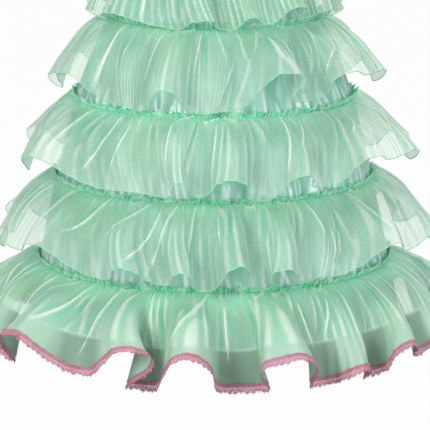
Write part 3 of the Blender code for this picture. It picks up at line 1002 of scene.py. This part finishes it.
def hem_drop(name, angles, points, shares):
    """Extra length near the hem, down along the cloth"""
    extra = np.zeros(len(angles))
    for angle, half_width, length in HEM_DROPS[name]:
        gap = wrapped(angles - math.radians(angle), 2 * math.pi)
        extra += length / 1000 * np.exp(-(gap / math.radians(half_width)) ** 2)
    return unit(points[-1] - points[-3])[None] * (extra[None] * shares[:, None] ** 4)[..., None]


def hem_shade(points, step):
    """How far the lowest ruffle hangs clear of the satin hem, as painted shade that is deeper in the
    valleys of its folds
    """
    satin_drop, satin_radius = SKIRT_RINGS[-1][:2]
    x, y, z = points.transpose(2, 0, 1)
    beyond = np.hypot(x, y) - satin_radius
    slant = 0.34 * (1 + 0.9 * x ** 2 / (x ** 2 + y ** 2))
    under = smooth(-0.004, 0.003, -z - WAIST_DROP + slant * beyond - satin_drop)
    crest = np.cos(2 * math.pi * step)[None] * 0.5 + 0.5
    return under * (1 - 0.60 * smooth(0.1, 0.7, crest))


def add_heading(number, name, seam, material):
    """Crimped narrow frill above a ruffle's gather line, of uneven height"""
    rng = np.random.default_rng(60 + number)
    columns = HEADING_COLUMNS[number]
    angle = np.linspace(0, 2 * math.pi, columns, endpoint=False)
    width, deep = ring_size(seam)[:2]
    crimps = round(2 * math.pi * width / CRIMP_PITCH)
    phase = crimps * angle + 3.5 * wave_noise(rng, angle, 6, 12, 60)
    crimp = np.sin(phase) + 0.45 * wave_noise(rng, angle, 5, crimps // 2, crimps)
    uneven = 1.40 + 0.34 * wave_noise(rng, angle, 7, 30, 90) + 0.28 * crimp
    share = np.linspace(-0.25, 1, HEADING_ROWS)
    rise = share[:, None] * HEADER_HEIGHT * np.clip(uneven, 0.5, 2.1)[None]
    strong = np.clip(1 + 0.4 * wave_noise(rng, angle, 5, 10, 50), 0.3, 1.6)
    out = WALL + SEAM_GAP + rise * math.sin(HEADER_LEAN)
    out = out + (crimp * strong)[None] * 0.0018 * smooth(-0.4, 0.9, share)[:, None]
    turned = angle[None] + np.cos(phase)[None] * 0.0016 * smooth(0, 1, share)[:, None] / width
    points = stand(width + out, deep + out, turned, -WAIST_DROP - seam + rise * math.cos(HEADER_LEAN))
    heading = make_mesh(name + "_heading", points, sheet_faces(*points.shape[:2], True), material)
    add_uv(heading, grid_uv(np.arange(columns) * 0.001, share * HEADER_HEIGHT, True, columns * 0.001))
    # painted highlight on the outward crimps, stronger towards the top of the frill
    pale = np.clip(0.45 + 0.5 * crimp, 0, 1)[None] * smooth(-0.3, 0.7, share)[:, None]
    add_value(heading, "pale", pale)
    declare(heading, None)
    return heading


def declare(piece, node):
    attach(piece, "root")
    if node:
        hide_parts(node)


def add_ring(name, path, radius, sides, side_on, material):
    """A thread all round a ruffle"""
    ring = make_mesh(name, *tube(path, radius, sides, True, side_on), material)
    declare(ring, None)


def build_ruffles():
    """The five ruffles with their headings and threads; gives the points of the lowest one"""
    organza = organza_material("organza")
    frill = heading_material("organza_heading")
    seam_thread = thread_material("gathering_thread", (0.04, 0.55, 0.29), (0.28, 0.80, 0.56), 500)
    hem_thread = thread_material("rolled_hem", (0.20, 0.74, 0.44), (0.50, 0.90, 0.62), 900)
    for number, (name, seam, depth, cut_width) in enumerate(RUFFLES):
        ruffle, points = add_ruffle(number, name, seam, depth, cut_width, organza)
        declare(ruffle, name)
        heading = add_heading(number, name, seam, frill)
        normals = grid_normals(points, True)
        seam_line = points[0] + normals[0] * 0.0004
        whole = np.linspace(0, 2 * math.pi, len(seam_line), endpoint=False)
        rng = np.random.default_rng(80 + number)
        seam_line[:, 2] += 0.0005 * wave_noise(rng, whole, 6, 60, 200)
        seam_radius = np.clip(0.0005 + 0.0003 * wave_noise(rng, whole, 6, 120, 300), 0.0002, 0.001)
        add_ring(name + "_gathering", seam_line, seam_radius, 3, normals[0], seam_thread)
        hem_radius = 0.00080 + 0.00018 * wave_noise(rng, whole, 6, 80, 300)
        if number < len(RUFFLES) - 1:
            add_ring(name + "_hem", points[-1], hem_radius, 4, normals[-1], hem_thread)
    return points


# Lace edging

SCALLOP = 0.0083
SCALLOP_DEPTH = 0.0042
LACE_EDGE = 0.0034
# Height of the lace above the cloth that it is sewn on
LACE_LIFT = 0.0011
PICOT = 0.0011


def scallop_edge(places, step, rng):
    """Drop of the lace's lower edge below the hem at distances along it"""
    number = np.floor(places / step).astype(int)
    share = places / step - number
    sizes = rng.uniform(0.45, 1.35, number.max() + 2)
    arch = np.abs(np.sin(math.pi * share)) ** 0.7
    teeth = np.abs(np.sin(3 * math.pi * share))
    return LACE_EDGE + SCALLOP_DEPTH * sizes[number] * arch + 0.0006 * teeth


def add_lace(points):
    """Band of scalloped net over the lowest hem, with its cords and picots"""
    net = lace_material("lace_net")
    pink = thread_material("lace_thread", PINK_DEEP, PINK, 700)
    hem = points[-1]
    fall = unit(hem - points[-3])
    out = grid_normals(points, True)[-1]
    loops = [np.vstack([field, field[:1]]) for field in (hem, fall, out)]
    arc = distances(loops[0])
    total = arc[-1]
    count = int(total / SCALLOP)
    step = total / count
    rng = np.random.default_rng(7)

    def at(places, drop, lift):
        """Points on the edging at distances along the hem, below it and out from it"""
        base, down, outward = (read_line(np.mod(places, total), arc, loop) for loop in loops)
        return base + down * drop[..., None] + outward * lift[..., None]

    places = np.linspace(0, total, LACE_COLUMNS, endpoint=False)
    lower = scallop_edge(places, step, rng)
    upper = -LACE_ABOVE + 0.0005 * np.sin(math.pi * places / step) + rng.normal(0, 0.00015, LACE_COLUMNS)
    shares = np.array([0.0, 0.10, 0.20, 0.50, 0.80, 1.0])
    drops = upper[None] + (lower - upper)[None] * shares[:, None]
    curl = 0.0007 * np.sin(2 * math.pi * places / step)[None] * shares[:, None] ** 2
    band = at(np.broadcast_to(places, drops.shape), drops, LACE_LIFT + curl)
    piece = make_mesh("lace_edging_band", band, sheet_faces(*band.shape[:2], True), net)
    add_uv(piece, grid_uv(places, -shares * 0.012, True, total))
    add_value(piece, "edge", np.array([1.0, 0.7, 0.0, 0.0, 0.55, 1.0])[:, None] + 0 * drops)
    declare(piece, "lace_edging")

    cord = at(places, lower, LACE_LIFT + curl[-1])
    top_cord = at(places[::2], upper[::2] + 0.0004, np.full(len(places[::2]), 0.0014))
    starts = np.arange(count)[:, None] * step
    loop = 2 * math.pi * np.linspace(0, 1, 7)
    picots = []
    for centre in (1 / 6, 0.5, 5 / 6):
        size = PICOT * rng.uniform(0.7, 1.3, (count, 1))
        middle = starts + centre * step
        drop = np.interp(middle, places, lower) + (1 - np.cos(loop))[None] * size * 0.8
        picots.append(at(middle + np.sin(loop)[None] * size, drop, np.full_like(drop, 0.0012)))
    facing = np.array([0.0, 0.0, 1.0])
    parts = [
        tube(cord, 0.00055, 3, True, facing),
        tube(top_cord, 0.0005, 3, True, facing),
        tube(np.concatenate(picots), 0.0004, 3, False, facing),
    ]
    picot = make_mesh("lace_edging_picots", *joined(parts), pink)
    declare(picot, None)


# Satin skirt and bodice

BODICE_QUARTER = 0.165
BODICE_HEIGHT = 0.27
BODICE_SHELL = 0.0012
SATIN_SHELL = 0.0006
PUCKER_DEPTH = 0.0045
# Share of the way round at which the neck edge ends, and at which the armhole starts
NECK_SHARE = 0.39
ARM_SHARE = 0.61
STITCH = 0.0030
STITCH_PITCH = 0.0042
STITCH_RADIUS = 0.00030
EDGE_STITCH = 0.0045


def puckers(rng, angles, drops):
    """Height of the ridges that run up the satin from each gathered seam, with broad hollows between
    them, and how bright the painted highlight along the ridges is"""
    height = np.zeros((len(drops), len(angles)))
    painted_gleam = np.zeros_like(height)
    for seam in (row[1] for row in RUFFLES):
        radius = ring_size(seam)[0]
        away = seam - drops
        place = angles[0] * radius
        height -= PUCKER_DEPTH * np.exp(-(away / 0.040) ** 2)[:, None]
        while place < angles[-1] * radius:
            place += rng.uniform(0.009, 0.024)
            tall = rng.uniform(0.0022, 0.0048)
            reach = rng.uniform(0.020, 0.055)
            lean = rng.normal(0, 0.22)
            gap = angles[None] * radius - (place + lean * away)[:, None]
            half = (rng.uniform(0.0020, 0.0036) + 0.10 * np.clip(away, 0, 0.06))[:, None]
            fade = (1 - smooth(0.3 * reach, reach, away)) * (1 - smooth(0.005, 0.03, -away))
            height += tall * np.exp(-np.abs(gap / half) ** 1.5) * fade[:, None]
            # painted highlight along the ridge: narrow and full on most ridges, broad and dimmer on the
            # rest
            if rng.uniform() < 0.65:
                line, bright = 0.0011 + 0.42 * half, 1.0
            else:
                line = 0.45 * half + 0.10 * (reach - away)[:, None].clip(0, 0.05)
                bright = rng.uniform(0.15, 0.75)
            shift = rng.uniform(-0.5, 0.5) * half
            painted_gleam += bright * np.exp(-((gap - shift) / line) ** 2) * fade[:, None]
    return height, np.clip(painted_gleam, 0, 1)


def add_skirt_half(name, from_angle, material):
    rng = np.random.default_rng(200 + from_angle)
    drops = np.linspace(0, SKIRT_RINGS[-1][0], SKIRT_ROWS)
    angles = np.radians(from_angle + np.linspace(0, 180, SKIRT_COLUMNS))
    angles[0] += math.asin(GAP / 2 / 0.2)
    angles[-1] -= math.asin(GAP / 2 / 0.2)
    window = np.hanning(9) / np.hanning(9).sum()
    width, deep, fold = (
        np.convolve(np.pad(line, 4, "reflect", reflect_type="odd"), window, "valid")[:, None]
        for line in ring_size(drops)
    )
    edge = smooth(0, 0.10, angles - angles[0]) * smooth(0, 0.10, angles[-1] - angles)
    height, painted_gleam = puckers(rng, angles, drops)
    kept = edge[None] * smooth(0.002, 0.02, drops)[:, None]
    out = WALL + fold * (np.cos(SKIRT_FOLDS * angles)[None] - 1) + np.minimum(height, 0.0012) * kept
    points = stand(width + out, deep + out, angles[None], -WAIST_DROP - drops[:, None])
    piece = make_mesh(name + "_satin", points, sheet_faces(*points.shape[:2], False), material)
    across = np.linspace(0, math.pi * 0.27, SKIRT_COLUMNS)
    add_uv(piece, grid_uv(across, -drops, False, 0))
    # painted highlight on the puckers' ridges
    add_value(piece, "painted_gleam", painted_gleam * kept)
    # painted shade in the hollow below each ruffle seam
    add_value(piece, "hollow", np.clip(-height / PUCKER_DEPTH, 0, 1) * kept)
    shell = piece.modifiers.new("thickness", "SOLIDIFY")
    shell.thickness = SATIN_SHELL
    shell.offset = -1.0
    declare(piece, name)
    return piece, points


def bodice_sheet(side, shift, lift, columns, rows):
    """Fine grid of one bodice half at +X, side -1 for the front and +1 for the back"""
    table = np.array(TOP_EDGE)
    knots = table[:, 0]
    shares = np.linspace(0, 1, columns)
    across, front_drop, back_drop = (np.interp(shares, knots, table[:, k]) for k in (1, 2, 3))
    heights, widths, fronts, backs = np.array(BODICE_RINGS).T
    drop = front_drop if side < 0 else back_drop
    depths = fronts if side < 0 else backs
    slope = SHOULDER_SLOPE * np.maximum(across - NECK_POINT, 0)
    top = (-drop - slope) / (1 + slope / SLOPE_FADE)
    top_turn = np.arcsin(np.clip(across / np.interp(top, heights, widths), 0, 1))
    top_turn[-1] = math.pi / 2
    lines = []
    for share in 1 - np.linspace(1, 0, rows) ** 1.5:
        z = -WAIST_DROP + WAIST_GAP + (top + WAIST_DROP - WAIST_GAP) * share
        reached = math.sin(share * math.pi / 2)
        turn = shares * math.pi / 2 * (1 - reached) + top_turn * reached
        width = np.interp(z, heights, widths)
        near = np.clip(1 - shares / LAP_REACH, 0, 1)
        turn = turn - np.arcsin(shift * near / width)
        x = width * np.sin(turn)
        fall = z + SHOULDER_SLOPE * np.maximum(x - NECK_POINT, 0) * np.clip(1 + z / SLOPE_FADE, 0, 1)
        round_off = np.clip((fall + SHOULDER_ROUND) / SHOULDER_ROUND, 0, 1)
        depth = np.interp(z, heights, depths) * np.sqrt(1 - round_off ** 2)
        y = depth * np.cos(turn) + GAP / 2 + lift * np.clip(2 * near, 0, 1)
        lines.append(np.stack([x, side * y, z], -1))
    return np.array(lines)[::-1]


def bodice_creases(rows, points):
    """Height in metres of the soft creases of a bodice panel, fading out before its edges"""
    side = np.arctan2(points[..., 0], np.abs(points[..., 1]) + 1e-6) / (math.pi / 2)
    across = side * BODICE_QUARTER
    up = points[..., 2] + WAIST_DROP
    height = np.zeros(up.shape)
    for from_side, from_up, to_side, to_up, tall, half in rows:
        start = np.array([from_side * BODICE_QUARTER, from_up * BODICE_HEIGHT])
        run = np.array([to_side * BODICE_QUARTER, to_up * BODICE_HEIGHT]) - start
        length = np.linalg.norm(run)
        run /= length
        along = ((across - start[0]) * run[0] + (up - start[1]) * run[1]) / length
        gap = (across - start[0]) * run[1] - (up - start[1]) * run[0]
        bend = 0.06 * length * np.sin(math.pi * np.clip(along, 0, 1))
        fade = smooth(-0.05, 0.3, along) * (1 - smooth(0.6, 1.05, along))
        height += tall / 1000 * np.exp(-((gap + bend) / (half / 1000)) ** 2) * fade
    inside = smooth(0.0, 0.02, up) * (1 - smooth(0.86, 1.0, np.abs(side)))
    return height * inside


def add_bodice_panel(name, points, material):
    rows = BODICE_CREASES["front" if name == "bodice_front" else "back"]
    height = bodice_creases(rows, points)
    if name != "bodice_front":
        height = height * smooth(0.12, 0.24, np.abs(points[..., 0]) / 0.1)
    points = points + grid_normals(points, False) * height[..., None]
    piece = make_mesh(name + "_satin", points, sheet_faces(*points.shape[:2], False), material)
    across = np.linspace(0, 0.3, points.shape[1])
    add_uv(piece, grid_uv(across, points[:, points.shape[1] // 2, 2], False, 0))
    shell = piece.modifiers.new("thickness", "SOLIDIFY")
    shell.thickness = BODICE_SHELL
    shell.offset = 1.0
    # painted shade in the creases' troughs
    add_value(piece, "hollow", np.clip(-height / 0.001, 0, 1))
    # painted highlight on the creases' crests
    add_value(piece, "painted_gleam", 0.35 * np.clip(height / 0.001, 0, 1))
    declare(piece, name)
    return piece, points


def stitches(line, normals):
    """Short threads along a line on the cloth, each one sinking into it at both ends"""
    arc = distances(line)
    count = int(arc[-1] / STITCH_PITCH)
    places = (np.arange(count)[:, None] + 0.15) * arc[-1] / count + np.linspace(0, STITCH, 4)[None]
    base, out = read_line(places, arc, line), read_line(places, arc, normals)
    lift = np.array([-0.0001, 0.0003, 0.0003, -0.0001])[:, None]
    return tube(base + out * lift, STITCH_RADIUS, 3, False, out)


def edge_stitches(points, columns):
    """Stitches along a stretch of a bodice panel's top edge, a little way in from it"""
    normals = grid_normals(points, False)
    edge, out = points[0, columns], normals[1, columns]
    line = edge + np.cross(unit(np.gradient(edge, axis=0)), out) * EDGE_STITCH
    flat, flat_out = points.reshape(-1, 3), normals.reshape(-1, 3)
    nearest = np.linalg.norm(line[:, None] - flat[None], axis=-1).argmin(1)
    out = flat_out[nearest]
    line = line - out * ((line - flat[nearest]) * out).sum(-1, keepdims=True)
    return stitches(line + out * BODICE_SHELL, out)


def bodice_stitches(points, columns_list, upright):
    """Stitches round the neck and armholes of a panel, above its waist edge and down upright columns"""
    normals = grid_normals(points, False)
    outer = points + normals * BODICE_SHELL
    rows = [edge_stitches(points, columns) for columns in columns_list]
    rows.append(stitches(outer[-1] * 0.4 + outer[-2] * 0.6, normals[-2]))
    rows += [stitches(outer[4:-2, column], normals[4:-2, column]) for column in upright]
    return rows


def build_satin():
    satin = satin_material("satin", 1.0)
    bodice_satin = satin_material("bodice_satin", 0.45)
    sewing = thread_material("stitching", (0.16, 0.55, 0.40), (0.45, 0.86, 0.70), 900)
    sewn = []
    for name, from_angle in (("skirt_front", -90), ("skirt_back", 90)):
        skirt, points = add_skirt_half(name, from_angle, satin)
        sewn.append(stitches(points[-2], grid_normals(points, False)[-2]))
    front = bodice_sheet(-1, 0.0, 0.0, BODICE_GRID, BODICE_GRID)
    mirrored = front[:, :0:-1] * np.array([-1, 1, 1])
    whole = np.concatenate([mirrored, front], 1)
    left = bodice_sheet(1, BACK_LAP, LAP_LIFT, BODICE_GRID, BODICE_GRID)[:, ::-1]
    right = bodice_sheet(1, BACK_LAP, 0.0, BODICE_GRID, BODICE_GRID) * np.array([-1, 1, 1])
    last = BODICE_GRID - 1
    neck, arm = round(NECK_SHARE * last), round(ARM_SHARE * last)
    front_edges = (
        slice(0, last - arm), slice(last - neck, last + neck + 1), slice(last + arm, 2 * last + 1),
    )
    left_edges = (slice(0, last - arm), slice(last - neck, last + 1))
    right_edges = (slice(0, neck + 1), slice(arm, last + 1))
    for name, grid, size, area, edges, upright in (
        ("bodice_front", whole, (0.36, 0.31), 0.078, front_edges, ()),
        ("bodice_back_left", left, (0.20, 0.31), 0.042, left_edges, (last - 2, last - 8)),
        ("bodice_back_right", right, (0.20, 0.31), 0.042, right_edges, ()),
    ):
        panel, points = add_bodice_panel(name, grid, bodice_satin)
        sewn += bodice_stitches(points, edges, upright)
    thread = make_mesh("satin_stitches", *joined(sewn), sewing)
    declare(thread, None)


# Stage, light and camera

CAMERA_PLACE = (0.00135, -4.0, 0.097)
# Degrees that the camera looks down, and degrees across its picture
CAMERA_TILT = 11.94
FIELD_OF_VIEW = 9.22


def plain_material(name, colour, roughness):
    material = bpy.data.materials.new(name)
    material.use_nodes = True
    shader = material.node_tree.nodes["Principled BSDF"]
    shader.inputs["Base Color"].default_value = (*colour, 1.0)
    shader.inputs["Roughness"].default_value = roughness
    return material


def area_light(name, place, target, size, power, colour):
    data = bpy.data.lights.new(name, "AREA")
    data.shape = "RECTANGLE"
    data.size, data.size_y = size
    data.energy = power
    data.color = colour
    lamp = bpy.data.objects.new(name, data)
    lamp.location = place
    lamp.rotation_euler = (Vector(target) - Vector(place)).to_track_quat("-Z", "Y").to_euler()
    bpy.context.scene.collection.objects.link(lamp)


def white_sheet(name, thing):
    """Plain white studio surface that only the camera sees, so it throws no light back on the cloth"""
    material = plain_material(name + "_paint", (0.02, 0.02, 0.02), 1.0)
    shader = material.node_tree.nodes["Principled BSDF"]
    shader.inputs["Specular IOR Level"].default_value = 0.0
    shader.inputs["Emission Color"].default_value = (1.0, 1.0, 1.0, 1.0)
    shader.inputs["Emission Strength"].default_value = 0.965
    thing.name = name
    thing.data.materials.append(material)
    thing.visible_diffuse = False
    thing.visible_glossy = False
    thing.visible_transmission = False
    thing.visible_shadow = False


def build_stage():
    bpy.ops.mesh.primitive_circle_add(vertices=96, radius=40, fill_type="NGON", location=(0, 0, -1.5))
    white_sheet("floor", bpy.context.object)
    bpy.ops.mesh.primitive_uv_sphere_add(segments=48, ring_count=24, radius=40)
    white_sheet("backdrop", bpy.context.object)
    world = bpy.data.worlds.new("studio")
    bpy.context.scene.world = world
    world.use_nodes = True
    sky = world.node_tree.nodes["Background"]
    sky.inputs["Color"].default_value = (0.97, 0.99, 1.0, 1.0)
    sky.inputs["Strength"].default_value = 0.49
    area_light("key", (-1.9, -2.8, 0.9), (0, 0, -0.6), (1.2, 1.6), 70, (1.0, 0.99, 0.96))
    area_light("fill", (2.4, -2.4, 0.1), (0, 0, -0.65), (1.0, 1.6), 34, (0.95, 0.98, 1.0))
    area_light("top", (0.0, 0.2, 2.2), (0, 0, -0.5), (1.8, 1.8), 16, (1.0, 1.0, 1.0))
    area_light("back_key", (1.6, 3.0, 1.3), (0, 0, -0.55), (1.4, 1.4), 44, (1.0, 1.0, 1.0))
    scene = bpy.context.scene
    scene.view_settings.view_transform = "Standard"
    scene.cycles.transparent_max_bounces = 32


def build_camera():
    data = bpy.data.cameras.new("camera")
    data.sensor_width = 36.0
    data.lens = data.sensor_width / 2 / math.tan(math.radians(FIELD_OF_VIEW / 2))
    camera = bpy.data.objects.new("camera", data)
    camera.location = CAMERA_PLACE
    camera.rotation_euler = (math.radians(90 - CAMERA_TILT), 0, 0)
    bpy.context.scene.collection.objects.link(camera)
    bpy.context.scene.camera = camera


build_camera()
build_stage()
build_satin()
add_lace(build_ruffles())
